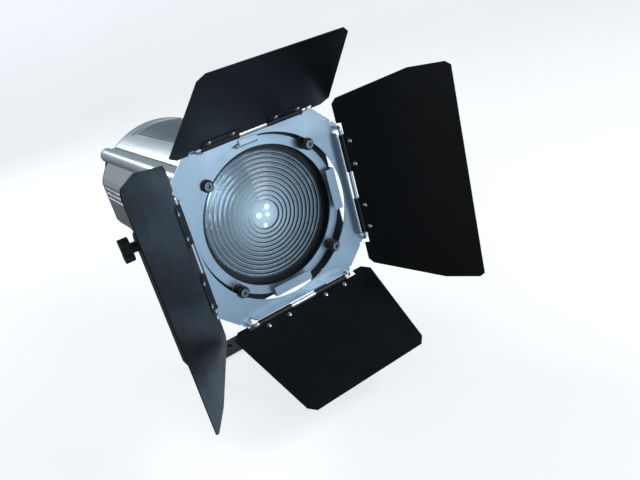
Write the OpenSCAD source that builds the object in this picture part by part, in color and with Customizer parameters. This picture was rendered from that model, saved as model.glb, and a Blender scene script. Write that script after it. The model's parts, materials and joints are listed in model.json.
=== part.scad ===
// LED fresnel spotlight: housing in a yoke, focusing lamp carriage and four-leaf barn doors.
// The origin is the centre of the yoke's clamp hole, on the underside of the yoke.
// The beam leaves towards -Y, +Z is up and +X is to the right when facing the lens.
// Housing and barn door pieces are drawn about the lens axis, with y = 0 in the plane
// of the four hinge rods, and in_head() puts them at the tilt pivot.

/* [Yoke] */
// Height of the tilt pivot above the underside of the yoke
pivot_h = 228; // [226:1:240]
// Inside width between the yoke's arms
yoke_gap = 257; // [257:1:263]
// Width of the yoke's flat bar
yoke_bar_w = 40; // [36:1:44]
// Thickness of the yoke's flat bar
yoke_bar_t = 6; // [5:0.5:7]
// Diameter of the clamp bolt hole in the yoke
clamp_hole_d = 13; // [11:0.5:14]
// Distance between the two outer bolt holes in the yoke
side_hole_span = 120; // [100:5:140]

/* [Housing] */
// Half the width of the housing over its side walls
half_w = 112; // [110:1:112]
// Distance from the hinge rods back to the front of the side profiles
body_front = 60; // [58:1:64]
// Distance from the hinge rods back to the rear ends of the side profiles
body_rear = 392; // [385:1:400]
// Outer radius of the arched covers
arch_r = 128; // [127.5:0.5:129]
// Distance from the hinge rods back to the tilt pivot
pivot_y = 205; // [195:1:215]

/* [Optics] */
// Visible diameter of the fresnel lens
lens_d = 175; // [170:1:176]
// Number of ring-shaped steps on the lens
lens_steps = 10; // [8:1:12]
// Inner radius of the lens tube
tube_r = 94.5; // [94:0.5:95]

/* [Barn doors] */
// Distance between opposite hinge rods
rod_span = 240; // [240:1:246]
// Diameter of a hinge rod
rod_d = 5; // [4:0.5:5]
// Radius of the round opening in the barn door plate
opening_r = 110; // [110:0.1:110.3]
// Length of the wide side leaves, from the hinge to the outer edge
wide_leaf_len = 161; // [150:1:165]
// Length of the narrow upper and lower leaves
narrow_leaf_len = 147; // [140:1:150]
// Opening angle of the upper leaf, where 0 lies flat outwards and 90 points forwards
top_angle = 51.5; // [40:0.5:80]
// Opening angle of the right leaf
right_angle = 60; // [40:0.5:80]
// Opening angle of the lower leaf
bottom_angle = 62.5; // [40:0.5:80]
// Opening angle of the left leaf
left_angle = 58; // [40:0.5:80]

/* [Hidden] */
$fn = 64;

run_fit = 0.05;       // radial clearance of a part that turns or slides
gap = 0.3;            // space between faces that move past each other
eps = 0.01;

// Tilt pivot
pivot_z = -23;
stud_r = 5;
arm_x = yoke_gap / 2;
spacer_r = 20;
insert_r = 8;
insert_in = 97;
wall_hole_r = 6.5;

// Housing section
mid_z = 5;
wall_t = 3;
rail_x = 86;
rail_z = 73;
rail_r = 12;
rail_hole_r = 2.5;
arch_z = -20;
arch_half = 70;
cover_t = 1.5;
panel_t = 4;
panel_y = body_rear;
panel_back = panel_y + panel_t;
vent_half = 44;
vent_y0 = 96;
vent_y1 = 368;

// Lens, lens tube and the ring in front of it
ring_y = 25;
ring_t = 1.5;
ring_r = 106;
post_r = 104.6;
standoff_r = 6;
lens_y = 38;
lens_edge_r = lens_d / 2 + 2.5;
lens_back = 43;
holder_r = tube_r - 0.1;
tab_half = 29;
tab_out = 105;
tab_in = 92;
tab_y = 14.5;
screw_r = 2.5;
guide_head_r = 5.4;
guide_hex_r = 3;
baffle_y = 27;
baffle_half = 106;
baffle_cut = 188;

// Filter latch
latch_x = -5;
latch_y = 18.5;
latch_z = 103.6;
latch_half = 13;
latch_top = 111.5;
latch_pin_r = 1.2;
latch_front = 9.8;
latch_t = 1.4;

// Lamp carriage
rod_x = 84;
guide_r = 5;
carriage_y = 195;
screw_x = 62;
screw_z = -52;
lead_r = 4;
fin_count = 17;
fan_y = carriage_y + 73;
fan_r = 55;
blade_count = 7;

// Buttons and sockets on the rear panel
button_r = 4;
button_x = -70;
button_step = 16;
button_z = 32;
button_proud = 3;
display_x = -46;
display_z = 62;
socket_xs = [-62, -26];
data_z = -42;
power_z = -8;
socket_r = 12;

// Barn door plate and leaves
half_span = rod_span / 2;
plate_y = 12;
plate_t = 1.5;
corner_at = 88;
flange_at = half_span - 6;
flange_half = 74;
flange_front = 1.4;
rod_end = 81;
bend_r = 6;
rod_r = rod_d / 2;
leaf_t = 1.2;
clip_in = 20;
clip_out = 71;
barrel_r = 4;
strap_t = 1;
strap_end = 16;
rivet_us = [30, 62];
rivet_v = 11;
rivet_r = 1.6;

silver = [0.74, 0.76, 0.78];
plate_blue = [0.62, 0.70, 0.76];
black = [0.07, 0.08, 0.09];
steel = [0.80, 0.81, 0.82];

// ---------- helpers ----------

module in_head() {
    translate([0, -pivot_y, pivot_h - pivot_z]) children();
}

// Extrudes a shape drawn in X and Z from y0 back to y1.
module along_beam(y0, y1) {
    translate([0, y1, 0]) rotate([90, 0, 0]) linear_extrude(y1 - y0) children();
}

// Turns a profile of [radius, y] points about the lens axis.
module turned() {
    rotate([-90, 0, 0]) rotate_extrude($fn = 128) children();
}

module tube(outer, inner, y0, y1) {
    turned() translate([inner, y0]) square([outer - inner, y1 - y0]);
}

module rod_y(r, y0, y1, x = 0, z = 0) {
    translate([x, y0, z]) rotate([-90, 0, 0]) cylinder(r = r, h = y1 - y0);
}

module rod_x(r, x0, x1, y, z) {
    translate([x0, y, z]) rotate([0, 90, 0]) cylinder(r = r, h = x1 - x0);
}

module both_sides() {
    children();
    mirror([1, 0, 0]) children();
}

// Repeats a shape above and below the middle height of the housing.
module above_and_below() {
    children();
    translate([0, 0, 2 * mid_z]) mirror([0, 0, 1]) children();
}

module at_posts() {
    for (turn = [45 : 90 : 315])
        rotate([0, turn, 0]) translate([0, 0, post_r]) children();
}

// ---------- yoke ----------

yoke_bend_r = 14;

module yoke_corner() {
    translate([arm_x + yoke_bar_t - yoke_bend_r, yoke_bend_r])
        intersection() {
            difference() {
                circle(r = yoke_bend_r);
                circle(r = yoke_bend_r - yoke_bar_t);
            }
            translate([0, -yoke_bend_r]) square(yoke_bend_r);
        }
}

module yoke_strip() {
    for (side = [0, 1])
        mirror([side, 0]) {
            translate([-eps, 0]) square([arm_x + yoke_bar_t - yoke_bend_r + eps, yoke_bar_t]);
            translate([arm_x, yoke_bend_r]) square([yoke_bar_t, pivot_h + yoke_bar_w]);
            yoke_corner();
        }
}

module yoke_side_outline() {
    translate([-yoke_bar_w / 2, -1]) square([yoke_bar_w, pivot_h + 1]);
    translate([0, pivot_h]) circle(r = yoke_bar_w / 2);
}

module yoke() {
    color(black)
    difference() {
        intersection() {
            translate([0, yoke_bar_w / 2, 0]) rotate([90, 0, 0])
                linear_extrude(yoke_bar_w) yoke_strip();
            translate([-arm_x - 20, 0, 0]) rotate([90, 0, 90])
                linear_extrude(2 * arm_x + 40) yoke_side_outline();
        }
        rod_x(stud_r + run_fit, -arm_x - 10, arm_x + 10, 0, pivot_h);
        translate([0, 0, -1]) cylinder(d = clamp_hole_d, h = yoke_bar_t + 2);
        for (x = [-1, 1] * side_hole_span / 2)
            translate([x, 0, -1]) cylinder(r = 5.5, h = yoke_bar_t + 2);
    }
}

module pivot_spacers() {
    color(black) in_head() both_sides()
        difference() {
            rod_x(spacer_r, half_w, arm_x - gap, pivot_y, pivot_z);
            rod_x(stud_r + run_fit, half_w - 1, arm_x, pivot_y, pivot_z);
        }
}

module pivot_inserts() {
    color(steel) in_head() both_sides()
        difference() {
            union() {
                rod_x(insert_r, insert_in, half_w - wall_t, pivot_y, pivot_z);
                rod_x(wall_hole_r - 0.1, half_w - wall_t - 1, half_w, pivot_y, pivot_z);
            }
            rod_x(stud_r + run_fit, insert_in - 1, half_w + 1, pivot_y, pivot_z);
        }
}

// ---------- tilt lock knobs ----------

knob_hub_x = arm_x + yoke_bar_t + gap;
knob_x = knob_hub_x + 12;
knob_t = 14;
knob_wing = 10.5;

module stud_right() {
    color(steel) in_head()
        rod_x(stud_r, insert_in + 2, knob_x + 10, pivot_y, pivot_z);
}

module stud_left() {
    mirror([1, 0, 0]) stud_right();
}

module knob_right() {
    color(black) in_head()
        difference() {
            translate([0, pivot_y, pivot_z]) rotate([0, 90, 0]) {
                translate([0, 0, knob_hub_x]) cylinder(r = 8, h = knob_x - knob_hub_x + 1);
                translate([0, 0, knob_x]) linear_extrude(knob_t) {
                    square([2 * knob_wing, 13], center = true);
                    for (side = [-1, 1])
                        translate([side * knob_wing, 0]) circle(r = 8.5);
                }
            }
            rod_x(stud_r, knob_hub_x - 1, knob_x + 10, pivot_y, pivot_z);
        }
}

module knob_left() {
    mirror([1, 0, 0]) knob_right();
}

// ---------- housing ----------

// Upper half of one side profile's section: wall, slope, rail and cover seat.
module half_profile() {
    difference() {
        union() {
            polygon([
                [half_w, mid_z - 1], [half_w, 38], [half_w - 3.5, 46], [98, 61], [92, 70],
                [88, 69], [95, 59], [half_w - wall_t - 3, 46.5], [half_w - wall_t, 41],
                [half_w - wall_t, mid_z - 1]
            ]);
            translate([rail_x, rail_z + mid_z]) circle(r = rail_r);
            translate([arch_half - 6, 82]) square([14, 2.5]);
            translate([arch_half + 3, 82]) square([6, 5]);
        }
        translate([rail_x, rail_z + mid_z]) circle(r = rail_hole_r);
    }
}

module rib() {
    translate([half_w - 0.5, 0]) square([1.7, 2.4]);
}

module side_profile_right() {
    color(silver) in_head()
        difference() {
            along_beam(body_front, body_rear) {
                half_profile();
                translate([0, 2 * mid_z]) mirror([0, 1]) half_profile();
                for (z = [11, 20, 29])
                    translate([0, z]) rib();
            }
            rod_x(wall_hole_r, half_w - 10, half_w + 5, pivot_y, pivot_z);
        }
}

module side_profile_left() {
    mirror([1, 0, 0]) side_profile_right();
}

// Part of the arch between the radii inner and outer and out to +-half from the middle.
module arch_strip(inner, outer, half) {
    intersection() {
        translate([0, arch_z]) difference() {
            circle(r = outer, $fn = 128);
            circle(r = inner, $fn = 128);
        }
        translate([-half, 60]) square([2 * half, 60]);
    }
}

module arch_cover() {
    difference() {
        along_beam(body_front, body_rear) arch_strip(arch_r - cover_t, arch_r, arch_half);
        along_beam(vent_y0, vent_y1) arch_strip(arch_r - 9, arch_r + 5, vent_half);
    }
}

module top_cover() {
    color(silver) in_head() arch_cover();
}

module bottom_cover() {
    color(silver) in_head() translate([0, 0, 2 * mid_z]) mirror([0, 0, 1]) arch_cover();
}

// Perforated screens that lie inside the covers, behind their windows.
module vent_screens() {
    color([0.45, 0.48, 0.5]) in_head() above_and_below()
        along_beam(vent_y0 - 8, vent_y1 + 8)
            arch_strip(arch_r - cover_t - 1.1, arch_r - cover_t - 0.1, vent_half + 8);
}

// Outline of the housing's section, filled in.
module housing_outline() {
    for (flip = [0, 1])
        translate([0, flip * 2 * mid_z]) mirror([0, flip]) {
            for (side = [0, 1])
                mirror([side, 0]) {
                    polygon([
                        [-1, mid_z - 1], [half_w, mid_z - 1], [half_w, 38], [half_w - 3.5, 46],
                        [98, 61], [95, 68], [rail_x, rail_z + mid_z], [arch_half - 1, 86.5], [-1, 86]
                    ]);
                    translate([rail_x, rail_z + mid_z]) circle(r = rail_r);
                }
            intersection() {
                translate([0, arch_z]) circle(r = arch_r, $fn = 128);
                translate([-arch_half, 20]) square([2 * arch_half, 100]);
            }
        }
}

module frame_screw_holes(y0, y1) {
    above_and_below() both_sides()
        rod_y(screw_r + 0.1, y0, y1, rail_x, rail_z + mid_z);
}

bezel_t = 5;

module front_bezel() {
    color(black) in_head()
        difference() {
            along_beam(body_front - bezel_t, body_front) housing_outline();
            rod_y(tube_r + 2, body_front - 20, body_front + 20, $fn = 128);
            frame_screw_holes(body_front - 20, body_front + 20);
            at_posts() rod_y(screw_r + 0.1, body_front - 20, body_front + 20);
        }
}

module frame_screws() {
    color(steel) in_head() above_and_below() both_sides() {
        translate([rail_x, 0, rail_z + mid_z]) {
            rod_y(4.5, body_front - bezel_t - 2.6, body_front - bezel_t);
            rod_y(screw_r - 0.1, body_front - bezel_t - 1, body_front + 18);
            rod_y(4.5, panel_back, panel_back + 2.6);
            rod_y(screw_r - 0.1, panel_y - 18, panel_back + 1);
        }
    }
}

module lens_tube() {
    color(black) in_head() {
        tube(tube_r + 1.9, tube_r, ring_y + ring_t, body_front + 10);
        tube(tube_r + 3.9, tube_r + 1, body_front - bezel_t - 3, body_front - bezel_t);
    }
}

module standoffs() {
    color(steel) in_head() at_posts()
        difference() {
            rod_y(standoff_r, ring_y + ring_t, body_front - bezel_t);
            rod_y(screw_r + 0.05, ring_y, body_front - bezel_t - 8);
        }
}

// ---------- ring in front of the lens tube ----------

// Black plate behind the ring that keeps stray light in.
module front_baffle() {
    color(black) in_head()
        difference() {
            along_beam(baffle_y, baffle_y + 2)
                intersection() {
                    square(2 * baffle_half, center = true);
                    rotate(45) square(sqrt(2) * baffle_cut, center = true);
                }
            rod_y(tube_r + 2, baffle_y - 5, baffle_y + 5, $fn = 128);
            at_posts() rod_y(standoff_r + 0.1, baffle_y - 5, baffle_y + 5);
        }
}

module ring_tab() {
    translate([tab_out - ring_t, tab_y, -tab_half])
        cube([ring_t, ring_y + ring_t - tab_y, 2 * tab_half]);
    translate([tab_in, tab_y, -tab_half]) cube([tab_out - tab_in, ring_t, 2 * tab_half]);
    translate([98, ring_y, -tab_half]) cube([tab_out - 98, ring_t, 2 * tab_half]);
}

module latch_ear() {
    ear_r = 3.2;
    difference() {
        union() {
            translate([latch_half + gap, latch_y, latch_z - ear_r])
                cube([ring_t, ring_y + ring_t - latch_y, 2 * ear_r]);
            rod_x(ear_r, latch_half + gap, latch_half + gap + ring_t, latch_y, latch_z);
        }
        rod_x(latch_pin_r, latch_half - 5, latch_half + 5, latch_y, latch_z);
    }
}

module front_ring() {
    color(plate_blue) in_head()
        difference() {
            union() {
                tube(ring_r, tube_r - 0.5, ring_y, ring_y + ring_t);
                at_posts() rod_y(9, ring_y, ring_y + ring_t);
                for (turn = [0, 90])
                    rotate([0, turn, 0]) ring_tab();
                translate([latch_x, 0, 0]) both_sides() latch_ear();
            }
            at_posts() rod_y(screw_r + 0.1, ring_y - 10, ring_y + 10);
        }
}

module guide_rollers() {
    color(black) in_head() at_posts()
        difference() {
            union() {
                rod_y(8, 9, plate_y - gap);
                rod_y(5, plate_y - 1, plate_y + plate_t + 1);
                rod_y(7.5, plate_y + plate_t + gap, ring_y);
            }
            rod_y(screw_r + 0.1, 0, ring_y + 1);
        }
}

module guide_screws() {
    color(steel) in_head() at_posts()
        difference() {
            union() {
                rod_y(guide_head_r, 5.6, 9);
                rod_y(screw_r, 8, 44);
            }
            rod_y(guide_hex_r, 5, 8.2, $fn = 6);
        }
}

module latch_pin() {
    color(steel) in_head() translate([latch_x, 0, 0])
        rod_x(latch_pin_r, -latch_half - 2.2, latch_half + 2.2, latch_y, latch_z);
}

// Spring latch: its knuckle turns on the pin, and its hook holds the barn door plate's edge.
module filter_latch() {
    knuckle_r = 2.6;
    arm_z = latch_z + 1;
    color(plate_blue) in_head() translate([latch_x, 0, 0])
        difference() {
            union() {
                rod_x(knuckle_r, -latch_half, latch_half, latch_y, latch_z);
                translate([-latch_half, latch_front, arm_z])
                    cube([2 * latch_half, latch_y - latch_front, latch_t]);
                translate([-latch_half, latch_front, arm_z])
                    cube([2 * latch_half, latch_t, latch_top - arm_z]);
            }
            rod_x(latch_pin_r + run_fit, -latch_half - 1, latch_half + 1, latch_y, latch_z);
        }
}

// ---------- lens ----------

step_in = lens_d / 2 * 0.23;
step_w = (lens_d / 2 - step_in) / lens_steps;
step_h = 2;

// Front of the lens: a central dome and then ring-shaped teeth.
function dome_points(n = 8) = [
    for (i = [0 : n])
        [step_in * i / n, lens_y - 1.2 + 2.6 * pow(i / n, 2)]
];
function tooth_points() = [
    for (i = [0 : lens_steps - 1], back = [0, 1])
        [step_in + step_w * (i + back), lens_y - 0.6 + back * step_h]
];

module fresnel_lens() {
    color([0.8, 0.88, 0.9, 0.5]) in_head()
        turned() polygon(concat(
            dome_points(),
            tooth_points(),
            [[lens_d / 2, lens_y], [lens_edge_r, lens_y], [lens_edge_r, lens_back], [0, lens_back]]
        ));
}

module lens_gasket() {
    color([0.2, 0.2, 0.2]) in_head()
        tube(lens_edge_r, lens_edge_r - 5, lens_back, lens_back + 1.2);
}

module lens_holder() {
    color(black) in_head() {
        tube(holder_r, lens_edge_r + 0.3, lens_y, lens_back + 2);
        tube(holder_r, lens_edge_r - 5, lens_back + 1.2, lens_back + 7);
    }
}

module lens_retainer() {
    color(black) in_head() tube(holder_r, lens_d / 2 - 0.5, lens_y - 1.6, lens_y);
}

// ---------- inside the housing ----------

bulkhead_y = 78;
bulkhead_t = 3;

// A plate across the inside of the housing, wide in the middle and narrow between the rails.
module cross_plate(y, thickness, narrow_low, narrow_high) {
    translate([-94, y, -30]) cube([188, thickness, 72]);
    translate([-70, y, narrow_low]) cube([140, thickness, narrow_high - narrow_low]);
}

module bulkhead() {
    color(black) in_head()
        difference() {
            cross_plate(bulkhead_y, bulkhead_t, -72, 82);
            rod_y(68, 60, 100, $fn = 128);
            for (x = [-rod_x, rod_x])
                rod_y(guide_r, 60, 100, x, mid_z);
            rod_y(lead_r + run_fit, 60, 100, screw_x, screw_z);
        }
}

module guide_rods() {
    color(steel) in_head() both_sides()
        rod_y(guide_r, bulkhead_y, panel_y - 2, rod_x, mid_z);
}

module driver_board() {
    color([0.10, 0.30, 0.18]) in_head() {
        translate([-52, 110, -82]) cube([96, 240, 2]);
        for (y = [124, 182, 248])
            translate([-44, y, -80.5]) cube([30, 40, 18]);
        for (y = [130, 170, 210, 250, 290])
            translate([20, y, -80.5]) cylinder(r = 8, h = 20);
    }
}

// ---------- rear panel ----------

module socket_holes(r) {
    for (x = socket_xs, z = [data_z, power_z])
        rod_y(r, panel_y - 5, panel_back + 5, x, z);
}

module rear_panel() {
    color(black) in_head()
        difference() {
            along_beam(panel_y, panel_back) housing_outline();
            frame_screw_holes(panel_y - 5, panel_back + 5);
            socket_holes(socket_r + 0.1);
            translate([display_x - 28, panel_back - 1.5, display_z - 14]) cube([56, 5, 28]);
            for (i = [0 : 3])
                rod_y(button_r + run_fit, panel_y - 5, panel_back + 5, button_x + i * button_step, button_z);
            rod_y(lead_r + run_fit, panel_y - 5, panel_back + 5, screw_x, screw_z);
        }
}

module display_window() {
    color([0.05, 0.1, 0.2]) in_head()
        translate([display_x - 27.9, panel_back - 1.5, display_z - 13.9]) cube([55.8, 2, 27.8]);
}

module round_socket(x, z, pins, pin_ring) {
    difference() {
        union() {
            rod_y(socket_r, panel_y - 20, panel_back + 1, x, z);
            translate([x - 14, panel_back, z - 15.5]) cube([28, 2.5, 31]);
        }
        rod_y(9.5, panel_y - 8, panel_back + 5, x, z);
    }
    for (i = [0 : pins - 1])
        translate([x, 0, z]) rotate([0, 30 + i * 300 / pins, 0])
            rod_y(1.2, panel_y - 9, panel_back - 2, pin_ring, 0);
}

// Mains sockets in the upper row and five-pin control sockets in the lower row.
module panel_sockets() {
    color([0.2, 0.2, 0.22]) in_head()
        for (x = socket_xs) {
            round_socket(x, power_z, 3, 5);
            round_socket(x, data_z, 5, 5.5);
        }
}

loop_r = 13;
loop_z = 88;
loop_wire_r = 3;
loop_leg = 8;
loop_foot_r = 7;
loop_foot_t = 3;

module safety_loop() {
    color(steel) in_head() {
        translate([0, panel_back + loop_leg, loop_z])
            rotate_extrude(angle = 180) translate([loop_r, 0]) circle(r = loop_wire_r);
        both_sides() {
            rod_y(loop_wire_r, panel_back + loop_foot_t, panel_back + loop_leg, loop_r, loop_z);
            rod_y(loop_foot_r, panel_back, panel_back + loop_foot_t, loop_r, loop_z);
        }
    }
}

module menu_button(i) {
    color([0.75, 0.75, 0.75]) in_head() {
        rod_y(button_r, panel_y - 3, panel_back + button_proud, button_x + i * button_step, button_z);
        rod_y(button_r + 1.5, panel_y - 5, panel_y - gap, button_x + i * button_step, button_z);
    }
}

module button_menu() { menu_button(0); }
module button_up() { menu_button(1); }
module button_down() { menu_button(2); }
module button_enter() { menu_button(3); }

// ---------- focus drive and lamp carriage ----------

module focus_knob() {
    color(black) in_head()
        difference() {
            union() {
                rod_y(9, panel_back + 0.5, panel_back + 6, screw_x, screw_z);
                rod_y(17, panel_back + 5, panel_back + 22, screw_x, screw_z);
            }
            rod_y(lead_r, panel_back, panel_back + 16, screw_x, screw_z);
            for (turn = [0 : 30 : 330])
                translate([screw_x, 0, screw_z]) rotate([0, turn, 0])
                    rod_y(1.6, panel_back + 4, panel_back + 30, 17.6, 0);
        }
}

module lead_screw() {
    color(steel) in_head()
        rod_y(lead_r, bulkhead_y - 4, panel_back + 16, screw_x, screw_z);
}

module carriage_plate() {
    color(silver) in_head()
        difference() {
            cross_plate(carriage_y, 5, -58, 70);
            for (x = [-rod_x, rod_x])
                rod_y(guide_r + 4, carriage_y - 5, carriage_y + 10, x, mid_z);
            rod_y(lead_r + 4, carriage_y - 5, carriage_y + 10, screw_x, screw_z);
        }
}

module flanged_bush(bore, x, z) {
    difference() {
        union() {
            rod_y(bore + 3.9, carriage_y - 1, carriage_y + 22, x, z);
            rod_y(bore + 7, carriage_y - 3, carriage_y, x, z);
        }
        rod_y(bore, carriage_y - 10, carriage_y + 30, x, z);
    }
}

module carriage_bushes() {
    color([0.78, 0.62, 0.25]) in_head() {
        for (x = [-rod_x, rod_x])
            flanged_bush(guide_r + run_fit, x, mid_z);
        flanged_bush(lead_r + run_fit, screw_x, screw_z);
    }
}

module heatsink() {
    color([0.3, 0.31, 0.32]) in_head()
        translate([0, carriage_y + 5, 0]) {
            translate([-54, 0, -40]) cube([108, 8, 108]);
            for (i = [0 : fin_count - 1])
                translate([-54 + i * 106 / (fin_count - 1), 6, -40]) cube([2, 62, 108]);
        }
}

module led_module() {
    color([0.9, 0.85, 0.5]) in_head() {
        translate([-19, carriage_y - 2, -19]) cube([38, 2, 38]);
        rod_y(14, carriage_y - 2.8, carriage_y - 1);
    }
}

module reflector() {
    color(steel) in_head()
        turned() polygon([
            [15, carriage_y - 2], [19, carriage_y - 2], [27, carriage_y - 12], [34, carriage_y - 34],
            [32.5, carriage_y - 34], [25.5, carriage_y - 12.5], [18, carriage_y - 3.2], [15, carriage_y - 3.2]
        ]);
}

module fan_frame() {
    color(black) in_head()
        translate([0, fan_y, 14])
            difference() {
                translate([-58, 0, -58]) cube([116, 25, 116]);
                rod_y(fan_r + 0.5, -1, 19);
                difference() {
                    rod_y(fan_r, 15, 30);
                    rod_y(20, 10, 30);
                    for (turn = [0, 60, 120])
                        rotate([0, turn, 0]) translate([-60, 21, -2]) cube([120, 10, 4]);
                }
                rod_y(3 + run_fit, -1, 30);
            }
}

module fan_rotor() {
    color(black) in_head()
        translate([0, fan_y, 14]) {
            rod_y(20, 2, 18);
            rod_y(3, 17, 24);
            for (turn = [0 : 360 / blade_count : 359])
                rotate([0, turn, 0]) translate([18, 10, 0]) rotate([35, 0, 0])
                    translate([0, -1, -12]) cube([fan_r - 20, 2, 22]);
        }
}

// ---------- barn doors ----------

module plate_outline() {
    wide = half_span + 4;
    step_at = flange_half + 2;
    intersection() {
        union() {
            square(2 * (flange_at + plate_t), center = true);
            for (turn = [0 : 90 : 270])
                rotate(turn) for (side = [0, 1])
                    mirror([side, 0]) translate([step_at, 0]) square([corner_at - step_at + 1, wide]);
            for (turn = [0 : 90 : 270])
                rotate(turn) translate([step_at, 0]) square([40, corner_at]);
        }
        rotate(45) square(2 * (corner_at + half_span) / sqrt(2), center = true);
    }
}

module door_flange() {
    corner = 6;
    rotate([90, 0, 90])
        linear_extrude(plate_t)
            difference() {
                translate([flange_front, -flange_half])
                    square([plate_y + plate_t - flange_front, 2 * flange_half]);
                for (side = [0, 1])
                    mirror([0, side]) translate([flange_front, flange_half - corner])
                        difference() {
                            translate([-1, 0]) square([corner + 1, corner + 1]);
                            translate([corner, 0]) circle(r = corner);
                        }
            }
}

module door_plate() {
    color(plate_blue) in_head() {
        difference() {
            along_beam(plate_y, plate_y + plate_t)
                difference() {
                    plate_outline();
                    circle(r = opening_r, $fn = 128);
                }
            for (turn = [0 : 90 : 270])
                rotate([0, turn, 0]) both_sides()
                    rod_y(rod_r + 0.1, 0, 30, rod_end, half_span);
        }
        for (turn = [0 : 90 : 270])
            rotate([0, turn, 0]) translate([flange_at, 0, 0]) door_flange();
    }
}

module hinge_rod() {
    straight = rod_end - bend_r;
    rod_x(rod_r, -straight, straight, 0, 0);
    both_sides() {
        translate([straight, bend_r, 0]) rotate([0, 0, -90])
            rotate_extrude(angle = 90) translate([bend_r, 0]) circle(r = rod_r);
        rod_y(rod_r, bend_r, plate_y + plate_t + 1, rod_end, 0);
    }
}

module hinge_rods() {
    color(steel) in_head()
        for (turn = [0 : 90 : 270])
            rotate([0, turn, 0]) translate([0, 0, half_span]) hinge_rod();
}

// A leaf lies in its own X-Y plane with the hinge rod on its X axis. turn picks the side
// of the plate that it hangs on, clockwise from the top, and angle opens it.
module at_hinge(turn, angle) {
    in_head() rotate([0, turn, 0]) translate([0, 0, half_span])
        rotate([90 + angle, 0, 0]) children();
}

ear_in = 87;
edge_v = 4.5;

// Right half of a leaf's outline, from the hinge edge outwards.
function wide_half() = [
    [ear_in, edge_v], [ear_in, -3], [113, -3], [120, 4], [143, 107],
    [143, wide_leaf_len - 7], [138, wide_leaf_len]
];
function narrow_half() = [
    [ear_in, edge_v], [ear_in, -3], [102, -3], [112, 7], [92, narrow_leaf_len - 9],
    [83, narrow_leaf_len]
];
function mirrored(points) = [
    for (i = [len(points) - 1 : -1 : 0]) [-points[i][0], points[i][1]]
];

module leaf(half) {
    translate([0, 0, -leaf_t / 2])
        linear_extrude(leaf_t)
            difference() {
                polygon(concat(half, mirrored(half)));
                for (u = rivet_us, side = [-1, 1])
                    translate([side * u, rivet_v]) circle(r = rivet_r + 0.1);
            }
}

module hinge_clips() {
    both_sides()
        difference() {
            union() {
                rod_x(barrel_r, clip_in, clip_out, 0, 0);
                translate([clip_in, 0, leaf_t / 2]) cube([clip_out - clip_in, strap_end, strap_t]);
            }
            rod_x(rod_r + run_fit, clip_in - 1, clip_out + 1, 0, 0);
            for (u = rivet_us)
                translate([u, rivet_v, 0]) cylinder(r = rivet_r + 0.1, h = 10);
        }
}

module leaf_rivets() {
    dome_r = 3.2;
    dome_h = 1.5;
    sphere_r = (dome_r * dome_r + dome_h * dome_h) / (2 * dome_h);
    top = leaf_t / 2 + strap_t;
    for (u = rivet_us, side = [-1, 1])
        translate([side * u, rivet_v, 0]) {
            translate([0, 0, -leaf_t / 2 - 0.8]) cylinder(r = 2.6, h = 0.8);
            translate([0, 0, -leaf_t / 2 - 0.4]) cylinder(r = rivet_r, h = leaf_t + strap_t + 0.8);
            intersection() {
                translate([0, 0, top + dome_h - sphere_r]) sphere(r = sphere_r);
                translate([0, 0, top]) cylinder(r = dome_r + 1, h = dome_h + 1);
            }
        }
}

module leaf_top() { color(black) at_hinge(0, top_angle) leaf(narrow_half()); }
module clips_top() { color(black) at_hinge(0, top_angle) hinge_clips(); }
module rivets_top() { color(steel) at_hinge(0, top_angle) leaf_rivets(); }
module leaf_right() { color(black) at_hinge(90, right_angle) leaf(wide_half()); }
module clips_right() { color(black) at_hinge(90, right_angle) hinge_clips(); }
module rivets_right() { color(steel) at_hinge(90, right_angle) leaf_rivets(); }
module leaf_bottom() { color(black) at_hinge(180, bottom_angle) leaf(narrow_half()); }
module clips_bottom() { color(black) at_hinge(180, bottom_angle) hinge_clips(); }
module rivets_bottom() { color(steel) at_hinge(180, bottom_angle) leaf_rivets(); }
module leaf_left() { color(black) at_hinge(270, left_angle) leaf(wide_half()); }
module clips_left() { color(black) at_hinge(270, left_angle) hinge_clips(); }
module rivets_left() { color(steel) at_hinge(270, left_angle) leaf_rivets(); }

yoke();
side_profile_left();
side_profile_right();
top_cover();
bottom_cover();
vent_screens();
front_bezel();
lens_tube();
standoffs();
front_baffle();
front_ring();
guide_rollers();
guide_screws();
fresnel_lens();
lens_gasket();
lens_holder();
lens_retainer();
bulkhead();
guide_rods();
driver_board();
rear_panel();
display_window();
panel_sockets();
frame_screws();
safety_loop();
pivot_inserts();
pivot_spacers();
latch_pin();
filter_latch();
button_menu();
button_up();
button_down();
button_enter();
focus_knob();
lead_screw();
carriage_plate();
carriage_bushes();
heatsink();
led_module();
reflector();
fan_frame();
fan_rotor();
knob_left();
stud_left();
knob_right();
stud_right();
door_plate();
hinge_rods();
leaf_top();
clips_top();
rivets_top();
leaf_right();
clips_right();
rivets_right();
leaf_bottom();
clips_bottom();
rivets_bottom();
leaf_left();
clips_left();
rivets_left();
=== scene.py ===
"""Looks of the fresnel spotlight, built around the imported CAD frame.

Lengths are in millimetres in the lamp's own coordinates, as in part.scad: x to the right when facing
the lens, y back along the beam from the plane of the hinge rods, z up from the lens axis.
row() turns them into the frame's metres. The studio and the camera are in the frame's metres.
"""

import json
import math

import bmesh
import bpy
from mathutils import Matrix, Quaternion, Vector


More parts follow.
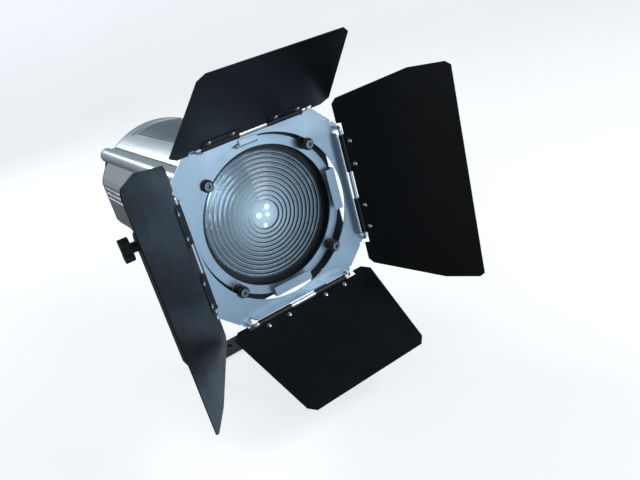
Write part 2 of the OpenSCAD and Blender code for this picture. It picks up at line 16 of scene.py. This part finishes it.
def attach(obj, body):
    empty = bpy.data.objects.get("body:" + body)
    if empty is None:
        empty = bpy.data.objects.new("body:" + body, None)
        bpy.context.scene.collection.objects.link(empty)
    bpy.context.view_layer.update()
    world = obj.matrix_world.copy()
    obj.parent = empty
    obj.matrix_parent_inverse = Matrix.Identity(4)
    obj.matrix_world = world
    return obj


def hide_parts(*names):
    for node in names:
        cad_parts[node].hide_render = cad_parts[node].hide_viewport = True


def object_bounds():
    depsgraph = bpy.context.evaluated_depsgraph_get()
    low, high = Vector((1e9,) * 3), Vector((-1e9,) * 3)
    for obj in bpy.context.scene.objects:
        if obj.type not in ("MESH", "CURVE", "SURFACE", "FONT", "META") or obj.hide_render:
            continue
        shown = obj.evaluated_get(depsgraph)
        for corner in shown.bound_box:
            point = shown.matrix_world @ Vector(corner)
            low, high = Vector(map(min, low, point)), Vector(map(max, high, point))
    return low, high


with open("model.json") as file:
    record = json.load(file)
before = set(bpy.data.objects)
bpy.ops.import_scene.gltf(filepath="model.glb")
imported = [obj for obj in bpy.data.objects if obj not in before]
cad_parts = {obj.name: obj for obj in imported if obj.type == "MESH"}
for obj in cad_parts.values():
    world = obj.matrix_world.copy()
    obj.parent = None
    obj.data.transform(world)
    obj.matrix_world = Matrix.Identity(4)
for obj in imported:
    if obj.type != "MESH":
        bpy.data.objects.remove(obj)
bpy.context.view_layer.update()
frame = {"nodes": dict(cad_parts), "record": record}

# Dimensions shared with the CAD, in millimetres
PIVOT_Y = 205
AXIS_HEIGHT = 251
MM = 0.001

MATERIALS = {}


def row(x, y, z):
    """A point of the lamp's own coordinates in the frame, in metres."""
    return Vector((x * MM, (y - PIVOT_Y) * MM, (z + AXIS_HEIGHT) * MM))


# ---------------------------------------------------------------- material helpers


def set_stops(node, stops):
    """Gives a colour ramp node its (position, colour) stops."""
    elements = node.color_ramp.elements
    while len(elements) < len(stops):
        elements.new(0.5)
    for element, (position, colour) in zip(elements, stops):
        element.position = position
        element.color = (*colour, 1)


class Nodes:
    """A small helper that adds and links the nodes of one material."""

    def __init__(self, name):
        self.material = bpy.data.materials.new(name)
        self.material.use_nodes = True
        self.tree = self.material.node_tree
        self.shader = self.tree.nodes["Principled BSDF"]
        self.coords = self.add("ShaderNodeTexCoord").outputs["Object"]
        MATERIALS[name] = self.material

    def add(self, kind, **settings):
        node = self.tree.nodes.new(kind)
        for key, value in settings.items():
            setattr(node, key, value)
        return node

    def link(self, output, socket):
        self.tree.links.new(output, socket)

    def noise(self, scale, detail=3.0, stretch=(1, 1, 1), roughness=0.5):
        mapping = self.add("ShaderNodeMapping")
        mapping.inputs["Scale"].default_value = stretch
        self.link(self.coords, mapping.inputs["Vector"])
        node = self.add("ShaderNodeTexNoise")
        node.inputs["Scale"].default_value = scale
        node.inputs["Detail"].default_value = detail
        node.inputs["Roughness"].default_value = roughness
        self.link(mapping.outputs["Vector"], node.inputs["Vector"])
        return node.outputs["Fac"]

    def map_range(self, value, start, end, low=0.0, high=1.0, kind="LINEAR"):
        """Maps a value between start and end to a value between low and high."""
        node = self.add("ShaderNodeMapRange", interpolation_type=kind)
        for key, number in (("From Min", start), ("From Max", end), ("To Min", low), ("To Max", high)):
            node.inputs[key].default_value = number
        self.link(value, node.inputs["Value"])
        return node.outputs["Result"]

    def spread(self, noise, low, high):
        """Maps a noise value, which seldom leaves 0.3 to 0.7, to a value between low and high."""
        return self.map_range(noise, 0.3, 0.7, low, high)

    def distance(self, point):
        """The distance from a point of the frame, in metres."""
        node = self.add("ShaderNodeVectorMath", operation="DISTANCE")
        node.inputs[1].default_value = point
        self.link(self.coords, node.inputs[0])
        return node.outputs["Value"]

    def ramp(self, value, stops):
        """A colour that runs through (position, colour) stops as value goes from 0 to 1."""
        node = self.add("ShaderNodeValToRGB")
        set_stops(node, stops)
        self.link(value, node.inputs["Fac"])
        return node.outputs["Color"]

    def drift(self, colour, contrast, scale, detail):
        """A colour that drifts slowly, darker and lighter by contrast."""
        stops = [(0.3, shade(colour, 1 - contrast)), (0.7, shade(colour, 1 + contrast))]
        return self.ramp(self.noise(scale, detail), stops)

    def bump(self, height, distance):
        node = self.add("ShaderNodeBump")
        node.inputs["Distance"].default_value = distance
        self.link(height, node.inputs["Height"])
        return node.outputs["Normal"]

    def set(self, **values):
        """Sets the shader's own sockets, with underscores in place of spaces."""
        for key, value in values.items():
            self.shader.inputs[key.replace("_", " ")].default_value = value

    def finish(self, colour, roughness, normal=None):
        for output, socket in ((colour, "Base Color"), (roughness, "Roughness"), (normal, "Normal")):
            if output:
                self.link(output, self.shader.inputs[socket])
        return self.material


def shade(colour, factor):
    return tuple(min(1.0, part * factor) for part in colour)


def coated(name, colour, rough, metallic=0.0, grain=0.00006, contrast=0.12, fine=900):
    """Paint, powder coat or moulded plastic: slow colour drift, a fine grain and uneven gloss."""
    n = Nodes(name)
    tint = n.drift(colour, contrast, scale=9, detail=4)
    gloss = n.spread(n.noise(60, detail=5), *rough)
    n.set(Metallic=metallic)
    return n.finish(tint, gloss, n.bump(n.noise(fine, detail=2), grain))


def brushed(name, colour, rough, stretch, depth=0.00003):
    """Metal with fine lines along one direction, given by a small number in stretch."""
    n = Nodes(name)
    lines = n.noise(700, detail=3, stretch=stretch)
    tint = n.drift(colour, contrast=0.10, scale=7, detail=3)
    n.set(Metallic=1.0)
    return n.finish(tint, n.spread(lines, *rough), n.bump(lines, depth))


# ---------------------------------------------------------------- materials


def plate_paint():
    """Blue-grey satin metal paint of the ring and the barn door plate."""
    n = Nodes("grey_plate")
    tint = n.ramp(n.noise(6, detail=5), [(0.28, (0.40, 0.52, 0.62)), (0.72, (0.50, 0.61, 0.70))])
    gloss = n.spread(n.noise(35, detail=6), 0.27, 0.42)
    n.set(Metallic=0.8)
    return n.finish(tint, gloss, n.bump(n.noise(1200, detail=2), 0.00003))


def leaf_paint():
    """Satin black paint of the leaves, with faint rubbed patches."""
    n = Nodes("leaf_black")
    stops = [(0.3, (0.0045, 0.0055, 0.0070)), (0.7, (0.0075, 0.0090, 0.0110))]
    tint = n.ramp(n.noise(5, detail=4), stops)
    gloss = n.spread(n.noise(26, detail=8, roughness=0.65), 0.30, 0.42)
    return n.finish(tint, gloss, n.bump(n.noise(1500, detail=2), 0.00004))


def anodised():
    """Silver anodised extrusion with fine drawn lines along the beam."""
    n = Nodes("anodised")
    lines = n.noise(1500, detail=3, stretch=(1, 0.006, 1))
    tint = n.ramp(n.noise(5, detail=3), [(0.3, (0.62, 0.66, 0.68)), (0.7, (0.70, 0.73, 0.75))])
    n.set(Metallic=1.0)
    return n.finish(tint, n.spread(lines, 0.20, 0.27), n.bump(lines, 0.000012))


def lens_surface(name, colour, rough, transmission, ior=1.5, waves=0.00002):
    """Glass of one face of the lens: the clear slopes, the crests whitened as a painted highlight, the
    risers darkened as painted shade, the back.
    """
    n = Nodes(name)
    n.set(Transmission_Weight=transmission, IOR=ior)
    tint = n.ramp(n.noise(30, detail=3), [(0.3, shade(colour, 0.94)), (0.7, shade(colour, 1.03))])
    n.finish(tint, n.spread(n.noise(60, detail=4), *rough), n.bump(n.noise(110, detail=2), waves))
    return n


def lit_dots():
    """Pale phosphor of the lamp with a faint square grid of emitters, given a painted glow though the lamp
    is not switched on.
    """
    n = Nodes("led_phosphor")
    cells = n.add("ShaderNodeTexVoronoi")
    cells.inputs["Scale"].default_value = 420
    cells.inputs["Randomness"].default_value = 0.15
    n.link(n.coords, cells.inputs["Vector"])
    tint = n.ramp(cells.outputs["Distance"], [(0.1, (0.95, 0.90, 0.62)), (0.6, (0.85, 0.76, 0.42))])
    # The emission is a painted glow: the lamp is not switched on
    n.set(Coat_Weight=0.8, Coat_Roughness=0.08, Emission_Color=(0.72, 0.88, 1.0, 1), Emission_Strength=1.5)
    return n.finish(tint, n.spread(n.noise(300), 0.25, 0.4))


# ---------------------------------------------------------------- painted glow on the back of the lens

LENS_R = 87.5
LENS_BACK = 43

# Painted glow: colour from the axis (0) to the lens's rim (1)
PAINTED_LENS_GLOW = [
    (0.0, (0.62, 0.80, 0.92)),
    (0.25, (0.34, 0.48, 0.58)),
    (0.6, (0.10, 0.15, 0.19)),
    (1.0, (0.03, 0.05, 0.07)),
]
GLOW_STRENGTH = 0.8
SPOT_STRENGTH = 2.2

# Painted glints where images of the lamp's emitters would show on the back of the lens: x, z and radius in
# millimetres
PAINTED_LAMP_GLINTS = [(-8, 1, 5), (6, 8, 5), (4, -2, 3.5), (-3, -15, 4)]
# The part of a spot's radius that is fully bright
SPOT_CORE = 0.3


def painted_lamp_glint(n, x, z, radius):
    """1 in the middle of a painted glint and 0 outside it."""
    away = n.distance(row(x, LENS_BACK, z))
    return n.map_range(away, radius * MM, SPOT_CORE * radius * MM, kind="SMOOTHSTEP")


def add_painted_lens_glow(n):
    """A painted glow on the stippled back of the lens, as if the lamp's light scattered there, strongest
    about the axis, with painted glints added.
    """
    from_axis = n.map_range(n.distance(row(0, LENS_BACK, 0)), 0, LENS_R * MM)
    total = None
    for x, z, radius in PAINTED_LAMP_GLINTS:
        spot = painted_lamp_glint(n, x, z, radius)
        if total is None:
            total = spot
            continue
        both = n.add("ShaderNodeMath", operation="ADD")
        n.link(total, both.inputs[0])
        n.link(spot, both.inputs[1])
        total = both.outputs["Value"]
    strength = n.add("ShaderNodeMath", operation="MULTIPLY_ADD")
    strength.inputs[1].default_value = SPOT_STRENGTH
    strength.inputs[2].default_value = GLOW_STRENGTH
    n.link(total, strength.inputs[0])
    n.link(n.ramp(from_axis, PAINTED_LENS_GLOW), n.shader.inputs["Emission Color"])
    n.link(strength.outputs["Value"], n.shader.inputs["Emission Strength"])


def make_materials():
    plate_paint()
    leaf_paint()
    anodised()
    lens_surface("lens_glass", (0.70, 0.84, 0.96), (0.05, 0.10), 0.90)
    # Crests: whitish and mostly opaque, a painted highlight round every tooth
    lens_surface("lens_crest", (0.80, 0.92, 1.00), (0.14, 0.22), 0.15)
    # Risers: dark and mostly opaque, painted shade for the dark look of total internal reflection
    lens_surface("lens_riser", (0.02, 0.03, 0.04), (0.25, 0.35), 0.20)
    # The back of the lens carries a painted glow and painted glints
    add_painted_lens_glow(lens_surface("lens_back", (0.66, 0.80, 0.94), (0.16, 0.24), 0.90, ior=1.25, waves=0.0001))
    lit_dots()
    coated("yoke_black", (0.022, 0.022, 0.025), (0.38, 0.55), grain=0.00010, fine=700)
    coated("screen_mesh", (0.42, 0.46, 0.50), (0.28, 0.42), metallic=0.9)
    coated("panel_black", (0.014, 0.014, 0.016), (0.35, 0.52), grain=0.00008, fine=800)
    coated("black_plastic", (0.012, 0.012, 0.013), (0.42, 0.6), grain=0.00012, fine=600)
    coated("seal_rubber", (0.02, 0.02, 0.02), (0.6, 0.8))
    coated("circuit_board", (0.012, 0.022, 0.035), (0.35, 0.55), contrast=0.25)
    coated("display", (0.01, 0.02, 0.05), (0.05, 0.12), grain=0.0)
    coated("socket_grey", (0.05, 0.05, 0.055), (0.35, 0.5))
    coated("button_grey", (0.35, 0.36, 0.37), (0.35, 0.5))
    brushed("dark_screw", (0.20, 0.22, 0.24), (0.28, 0.40), (1, 1, 1))
    brushed("bright_steel", (0.86, 0.87, 0.88), (0.10, 0.20), (1, 1, 1), depth=0.00001)
    brushed("steel", (0.60, 0.61, 0.62), (0.25, 0.38), (1, 0.05, 1))
    brushed("carriage_metal", (0.58, 0.60, 0.62), (0.3, 0.42), (0.03, 1, 1))
    brushed("brass", (0.72, 0.54, 0.22), (0.22, 0.35), (1, 0.05, 1))
    brushed("dark_heatsink", (0.10, 0.10, 0.11), (0.4, 0.55), (1, 0.03, 1))
    brushed("reflector_silver", (0.88, 0.89, 0.90), (0.08, 0.16), (1, 1, 1), depth=0.00001)


# ---------------------------------------------------------------- mesh helpers

# Vertices closer than this are one vertex, in metres
SAME_PLACE = 1e-7
# A turned profile's point this close to the axis is on it
ON_AXIS = 1e-6


def make_object(name, mesh, body, slot, replaces, smooth_angle):
    """Puts a mesh in the scene as a piece that rides on a body."""
    obj = bpy.data.objects.new(name, mesh)
    bpy.context.scene.collection.objects.link(obj)
    mesh.materials.append(MATERIALS[slot])
    mesh.shade_smooth()
    mesh.set_sharp_from_angle(angle=math.radians(smooth_angle))
    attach(obj, body)
    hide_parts(*replaces)
    return obj


def mesh_from(name, bm):
    bmesh.ops.remove_doubles(bm, verts=bm.verts, dist=SAME_PLACE)
    bmesh.ops.recalc_face_normals(bm, faces=bm.faces)
    mesh = bpy.data.meshes.new(name)
    bm.to_mesh(mesh)
    bm.free()
    return mesh


def revolve(bm, profile, place, segments, material_index=0):
    """Turns an open line of (radius, distance along the axis) points; place(u, v, along) gives a point."""
    turns = [2 * math.pi * i / segments for i in range(segments)]
    rings = []
    for radius, along in profile:
        if radius < ON_AXIS:
            rings.append([bm.verts.new(place(0, 0, along))] * segments)
            continue
        rings.append([bm.verts.new(place(radius * math.cos(t), radius * math.sin(t), along)) for t in turns])
    for here, there in zip(rings, rings[1:]):
        for i in range(segments):
            j = (i + 1) % segments
            corners = []
            for vert in (here[i], here[j], there[j], there[i]):
                if vert not in corners:
                    corners.append(vert)
            bm.faces.new(corners).material_index = material_index


# ---------------------------------------------------------------- lens

LENS_EDGE_R = 90
LENS_FRONT = 38
LENS_STEPS = 11
LENS_SEGMENTS = 192
RIM_SLOPE = 0.3

# Dome in the middle of the lens
DOME_R = LENS_R * 0.22
DOME_FRONT = LENS_FRONT - 1.2
DOME_H = 2.9
DOME_POINTS = 12

# Teeth round the dome
TOOTH_W = (LENS_R - DOME_R) / LENS_STEPS
TOOTH_H = 2.6
RISER_W = 1.3
CREST_W = 0.9
CREST_H = 0.35
VALLEY_Y = LENS_FRONT + 1.7
CREST_Y = VALLEY_Y - TOOTH_H
# Part of the slope's fall that is curved rather than straight
SLOPE_CURVE = 0.55
CREST_POINTS = 4
SLOPE_POINTS = 6

# Material slots of the lens
SLOPE, CREST, RISER, BACK = range(4)


def lens_dome():
    parts = [i / DOME_POINTS for i in range(DOME_POINTS + 1)]
    return [(DOME_R * part, DOME_FRONT + DOME_H * part**2) for part in parts]


def lens_riser(inner):
    return [(inner, VALLEY_Y), (inner + RISER_W, CREST_Y + CREST_H)]


def lens_crest(inner):
    """The rounded edge of a tooth, half a turn from its riser to its slope."""
    middle = inner + RISER_W + CREST_W / 2
    points = []
    for k in range(CREST_POINTS + 1):
        turn = math.pi * (1 - k / CREST_POINTS)
        points.append((middle + CREST_W / 2 * math.cos(turn), CREST_Y + CREST_H * (1 - math.sin(turn))))
    return points


def lens_slope(inner):
    """The curved face of a tooth, from its crest back to the next valley."""
    start = inner + RISER_W + CREST_W
    width = TOOTH_W - RISER_W - CREST_W
    points = []
    for k in range(SLOPE_POINTS + 1):
        part = k / SLOPE_POINTS
        fall = (TOOTH_H - CREST_H) * ((1 - SLOPE_CURVE) * part + SLOPE_CURVE * part**2)
        points.append((start + width * part, CREST_Y + CREST_H + fall))
    return points


def lens_faces():
    """Every turned face of the lens, as (profile, material slot)."""
    faces = [(lens_dome(), SLOPE)]
    for step in range(LENS_STEPS):
        inner = DOME_R + step * TOOTH_W
        faces += [(lens_riser(inner), RISER), (lens_crest(inner), CREST), (lens_slope(inner), SLOPE)]
    rim = [(LENS_R, VALLEY_Y), (LENS_R + RIM_SLOPE, LENS_FRONT), (LENS_EDGE_R, LENS_FRONT)]
    faces.append((rim, SLOPE))
    faces.append(([(LENS_EDGE_R, LENS_FRONT), (LENS_EDGE_R, LENS_BACK)], SLOPE))
    faces.append(([(LENS_EDGE_R, LENS_BACK), (0, LENS_BACK)], BACK))
    return faces


def lens_point(u, v, along):
    return row(u, along, v)


def build_lens():
    bm = bmesh.new()
    for profile, slot in lens_faces():
        revolve(bm, profile, lens_point, LENS_SEGMENTS, slot)
    mesh = mesh_from("stepped_lens", bm)
    lens = make_object("stepped_lens", mesh, "head", "lens_glass", ["fresnel_lens"], smooth_angle=50)
    for name in ("lens_crest", "lens_riser", "lens_back"):
        mesh.materials.append(MATERIALS[name])
    lens.visible_shadow = False


# ---------------------------------------------------------------- perforated screens

SCREEN_R = 126.4
SCREEN_T = 0.4
# Height of the arch's centre, and of the level that the lower sheet mirrors the upper one about
ARCH_Z = -20
MID_Z = 5
# Half the arc length, and the ends along the beam, of the sheet
SCREEN_HALF = 53
SCREEN_Y = (88, 376)
# The same for the field of holes
HOLE_HALF = 41
HOLE_Y = (100, 364)
HOLE_PITCH = 5.0
HOLE_R = 1.85
HOLE_SIDES = 8
ROW_RISE = HOLE_PITCH * math.sqrt(3) / 2
HOLE_ROWS = int(2 * HOLE_HALF / ROW_RISE)
HOLE_COLUMNS = int((HOLE_Y[1] - HOLE_Y[0]) / HOLE_PITCH)
FIELD_HALF = HOLE_ROWS * ROW_RISE / 2
# Strips between the field of holes and the sheet's edge
MARGIN_STRIPS = 4
SHEET_MERGE = 2e-6

# A cell's corners and middles of sides, in half widths along the beam and across it
CELL_EDGE = [(1, 0), (1, 1), (0, 1), (-1, 1), (-1, 0), (-1, -1), (0, -1), (1, -1)]


class Sheet:
    """An arched perforated sheet: the upper one has side 1, and the lower one side -1."""

    def __init__(self, bm, side):
        self.bm = bm
        self.side = side

    def vertex(self, across, along, depth):
        """across is the arc length from the middle of the sheet."""
        turn = across / SCREEN_R
        radius = SCREEN_R - depth
        z = ARCH_Z + radius * math.cos(turn)
        return self.bm.verts.new(row(radius * math.sin(turn), along, MID_Z + self.side * (z - MID_Z)))

    def band(self, ring, other):
        """The faces between two rings of vertices."""
        for i in range(HOLE_SIDES):
            j = (i + 1) % HOLE_SIDES
            self.bm.faces.new((ring[i], ring[j], other[j], other[i]))

    def cell(self, across, along, depth):
        """The faces between a cell's edge and its hole, and the hole's ring of vertices."""
        outer = []
        for u, v in CELL_EDGE:
            outer.append(self.vertex(across + v * ROW_RISE / 2, along + u * HOLE_PITCH / 2, depth))
        inner = []
        for i in range(HOLE_SIDES):
            turn = 2 * math.pi * i / HOLE_SIDES
            place = (across + HOLE_R * math.sin(turn), along + HOLE_R * math.cos(turn))
            inner.append(self.vertex(*place, depth))
        self.band(outer, inner)
        return inner

    def patch(self, across, along):
        """A plain patch, on both faces, between two arc positions and two places along the beam."""
        for depth in (0, SCREEN_T):
            corners = [(across[0], along[0]), (across[1], along[0])]
            corners += [(across[1], along[1]), (across[0], along[1])]
            self.bm.faces.new([self.vertex(*corner, depth) for corner in corners])

    def hole_row(self, number):
        """A row of holes with its plain ends, set over by half a pitch in every other row."""
        centre = (number + 0.5) * ROW_RISE - FIELD_HALF
        late = number % 2
        count = HOLE_COLUMNS - late
        first = HOLE_Y[0] + late * HOLE_PITCH / 2
        for column in range(count):
            along = first + (column + 0.5) * HOLE_PITCH
            self.band(self.cell(centre, along, 0), self.cell(centre, along, SCREEN_T))
        for ends in ((SCREEN_Y[0], first), (first + count * HOLE_PITCH, SCREEN_Y[1])):
            self.patch((centre - ROW_RISE / 2, centre), ends)
            self.patch((centre, centre + ROW_RISE / 2), ends)

    def margins(self):
        """The plain strips on both sides of the field of holes."""
        width = (SCREEN_HALF - FIELD_HALF) / MARGIN_STRIPS
        for strip in range(MARGIN_STRIPS):
            near = FIELD_HALF + strip * width
            for sign in (-1, 1):
                self.patch((sign * near, sign * (near + width)), SCREEN_Y)


def build_screens():
    bm = bmesh.new()
    for side in (1, -1):
        sheet = Sheet(bm, side)
        for number in range(HOLE_ROWS):
            sheet.hole_row(number)
        sheet.margins()
    bmesh.ops.remove_doubles(bm, verts=bm.verts, dist=SHEET_MERGE)
    mesh = mesh_from("perforated_screens", bm)
    make_object("perforated_screens", mesh, "head", "screen_mesh", ["vent_screens"], smooth_angle=40)


# ---------------------------------------------------------------- CAD nodes that stay as they are

BEVEL_SEGMENTS = 2
BEVEL_FROM_ANGLE = 50

# Widths of the rounded edges, in millimetres
BEVELLED = {
    "yoke": 0.6, "knob_left": 0.8, "knob_right": 0.8, "front_ring": 0.3, "filter_latch": 0.3,
    "leaf_top": 0.3, "leaf_right": 0.3, "leaf_bottom": 0.3, "leaf_left": 0.3,
    "clips_top": 0.25, "clips_right": 0.25, "clips_bottom": 0.25, "clips_left": 0.25,
    # front_baffle is a black sheet behind the ring that darkens the gaps round it, a dark sheet standing in
    # for shade
    "rear_panel": 0.5, "front_bezel": 0.5, "front_baffle": 0.3, "focus_knob": 0.4, "pivot_spacers": 0.5,
    "top_cover": 0.3, "bottom_cover": 0.3, "guide_rollers": 0.5, "guide_screws": 0.3,
    "frame_screws": 0.4, "button_menu": 0.4, "button_up": 0.4, "button_down": 0.4, "button_enter": 0.4,
}


def round_edges(obj, width):
    bevel = obj.modifiers.new("edges", "BEVEL")
    bevel.width = width * MM
    bevel.segments = BEVEL_SEGMENTS
    bevel.limit_method = "ANGLE"
    bevel.angle_limit = math.radians(BEVEL_FROM_ANGLE)


def dress_cad_nodes():
    """Gives each CAD node the material of its slot, and rounded edges to the nodes in BEVELLED."""
    slot_of = {part["node"]: part["material_slot"] for part in frame["record"]["subparts"]}
    for name, obj in frame["nodes"].items():
        obj.data.materials.clear()
        obj.data.materials.append(MATERIALS[slot_of[name]])
        if name in BEVELLED:
            round_edges(obj, BEVELLED[name])
    frame["nodes"]["guide_screws"].data.materials[0] = MATERIALS["dark_screw"]


# ---------------------------------------------------------------- floor

FLOOR_R = 3.0
COVE_R = 1.2
COVE_POINTS = 12
WALL_TOP = 5.0
FLOOR_SEGMENTS = 96
FLOOR_EMISSION = 0.62


def floor_profile():
    """The floor, the cove that curves up from it, and the wall, as (radius, height) points."""
    profile = [(0.0, 0.0), (FLOOR_R, 0.0)]
    for k in range(1, COVE_POINTS + 1):
        turn = math.pi / 2 * k / COVE_POINTS
        profile.append((FLOOR_R + COVE_R * math.sin(turn), COVE_R - COVE_R * math.cos(turn)))
    profile.append((FLOOR_R + COVE_R, WALL_TOP))
    return profile


def floor_paint():
    n = Nodes("floor_paint")
    tint = n.ramp(n.noise(2, detail=3), [(0.3, (0.84, 0.85, 0.86)), (0.7, (0.88, 0.89, 0.90))])
    n.set(Emission_Color=(1, 1, 1, 1), Emission_Strength=FLOOR_EMISSION)
    return n.finish(tint, n.spread(n.noise(12), 0.75, 0.9))


def build_floor():
    """A round pale floor that curves up into a wall all the way round."""
    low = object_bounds()[0].z

    def floor_point(u, v, along):
        return Vector((u, v, low + along))

    bm = bmesh.new()
    revolve(bm, floor_profile(), floor_point, FLOOR_SEGMENTS)
    mesh = mesh_from("floor", bm)
    floor = bpy.data.objects.new("floor", mesh)
    bpy.context.scene.collection.objects.link(floor)
    mesh.materials.append(floor_paint())
    mesh.shade_smooth()
    floor.visible_glossy = False
    floor.visible_diffuse = False
    floor.visible_shadow = False


# ---------------------------------------------------------------- lights and surroundings

LIGHT_TARGET = (0, -0.1, 0.25)

# Name, place, width and height in metres, power in watts, colour
LIGHTS = [
    ("key", (1.3, -1.9, 1.6), (1.3, 1.0), 20, (0.96, 0.98, 1.0)),
    ("side", (-0.5, 1.9, 1.5), (0.6, 1.0), 9, (0.95, 0.98, 1.0)),
    ("fill", (-2.0, -0.6, 1.6), (1.2, 1.2), 2.2, (0.9, 0.95, 1.0)),
    ("low_a", (0.95, -1.60, 0.14), (0.06, 0.06), 0.4, (0.95, 0.98, 1.0)),
    ("low_b", (0.60, -1.80, 0.10), (0.05, 0.08), 0.4, (0.95, 0.98, 1.0)),
]

# Colours of the surroundings from straight down (-1) to straight up (1)
SKY = [
    (-1.00, (0.030, 0.024, 0.018)),
    (-0.60, (0.050, 0.044, 0.038)),
    (-0.30, (0.100, 0.105, 0.110)),
    (0.00, (0.300, 0.330, 0.360)),
    (0.35, (0.280, 0.340, 0.380)),
    (0.70, (0.070, 0.090, 0.100)),
    (1.00, (0.020, 0.026, 0.032)),
]

# Large soft glows: direction, width as the cosine at its edge, colour
GLOWS = [
    ((0.43, -0.80, -0.38), 0.55, (0.48, 0.63, 0.78)),
    ((-0.30, 0.72, 0.62), 0.86, (0.90, 1.05, 1.15)),
    ((0.62, 0.55, -0.50), 0.60, (0.30, 0.44, 0.56)),
]


def add_light(name, at, size, power, colour):
    data = bpy.data.lights.new(name, "AREA")
    data.shape = "RECTANGLE"
    data.size, data.size_y = size
    data.energy = power
    data.color = colour
    lamp = bpy.data.objects.new(name, data)
    bpy.context.scene.collection.objects.link(lamp)
    lamp.location = at
    lamp.rotation_euler = (Vector(LIGHT_TARGET) - Vector(at)).to_track_quat("-Z", "Y").to_euler()


def towards(tree, direction, start, end, kind):
    """Goes from 0 to 1 as the cosine of the angle to direction goes from start to end."""
    coords = tree.nodes.new("ShaderNodeTexCoord").outputs["Generated"]
    dot = tree.nodes.new("ShaderNodeVectorMath")
    dot.operation = "DOT_PRODUCT"
    dot.inputs[1].default_value = Vector(direction).normalized()
    tree.links.new(coords, dot.inputs[0])
    scale = tree.nodes.new("ShaderNodeMapRange")
    scale.interpolation_type = kind
    scale.inputs["From Min"].default_value = start
    scale.inputs["From Max"].default_value = end
    tree.links.new(dot.outputs["Value"], scale.inputs["Value"])
    return scale.outputs["Result"]


def add_glow(tree, total, direction, edge, colour):
    """Adds one soft glow to the colour of the surroundings."""
    mix = tree.nodes.new("ShaderNodeMix")
    mix.data_type = "RGBA"
    mix.blend_type = "ADD"
    for socket in mix.inputs:
        if socket.identifier == "A_Color":
            tree.links.new(total, socket)
        if socket.identifier == "B_Color":
            socket.default_value = (*colour, 1)
    tree.links.new(towards(tree, direction, edge, 1, "SMOOTHSTEP"), mix.inputs[0])
    return next(socket for socket in mix.outputs if socket.identifier == "Result_Color")


def build_sky():
    """Soft surroundings for the metal to reflect: dark above and below, with large soft glows."""
    world = bpy.data.worlds.new("studio")
    world.use_nodes = True
    bpy.context.scene.world = world
    tree = world.node_tree
    ramp = tree.nodes.new("ShaderNodeValToRGB")
    set_stops(ramp, [((height + 1) / 2, colour) for height, colour in SKY])
    tree.links.new(towards(tree, (0, 0, 1), -1, 1, "LINEAR"), ramp.inputs["Fac"])
    total = ramp.outputs["Color"]
    for direction, edge, colour in GLOWS:
        total = add_glow(tree, total, direction, edge, colour)
    tree.links.new(total, tree.nodes["Background"].inputs["Color"])


def build_studio():
    build_floor()
    build_sky()
    for name, at, size, power, colour in LIGHTS:
        add_light(name, at, size, power, colour)
    bpy.context.scene.view_settings.view_transform = "Standard"


# ---------------------------------------------------------------- camera

CAMERA_AT = (-0.3281, -0.9218, 0.5329)
CAMERA_TARGET = (0.0509, -0.2050, 0.1683)
CAMERA_ROLL = -15.31
CAMERA_LENS = 36.59
CAMERA_SENSOR = 36
CAMERA_SHIFT = (-0.0109, 0.0306)
CAMERA_NEAR = 0.01


def build_camera():
    data = bpy.data.cameras.new("camera")
    data.lens = CAMERA_LENS
    data.sensor_width = CAMERA_SENSOR
    data.shift_x, data.shift_y = CAMERA_SHIFT
    data.clip_start = CAMERA_NEAR
    camera = bpy.data.objects.new("camera", data)
    bpy.context.scene.collection.objects.link(camera)
    camera.location = CAMERA_AT
    aim = (Vector(CAMERA_TARGET) - Vector(CAMERA_AT)).to_track_quat("-Z", "Y")
    roll = Quaternion((0, 0, 1), math.radians(CAMERA_ROLL))
    camera.rotation_euler = (aim @ roll).to_euler()
    bpy.context.scene.camera = camera


make_materials()
dress_cad_nodes()
build_lens()
build_screens()
build_studio()
build_camera()
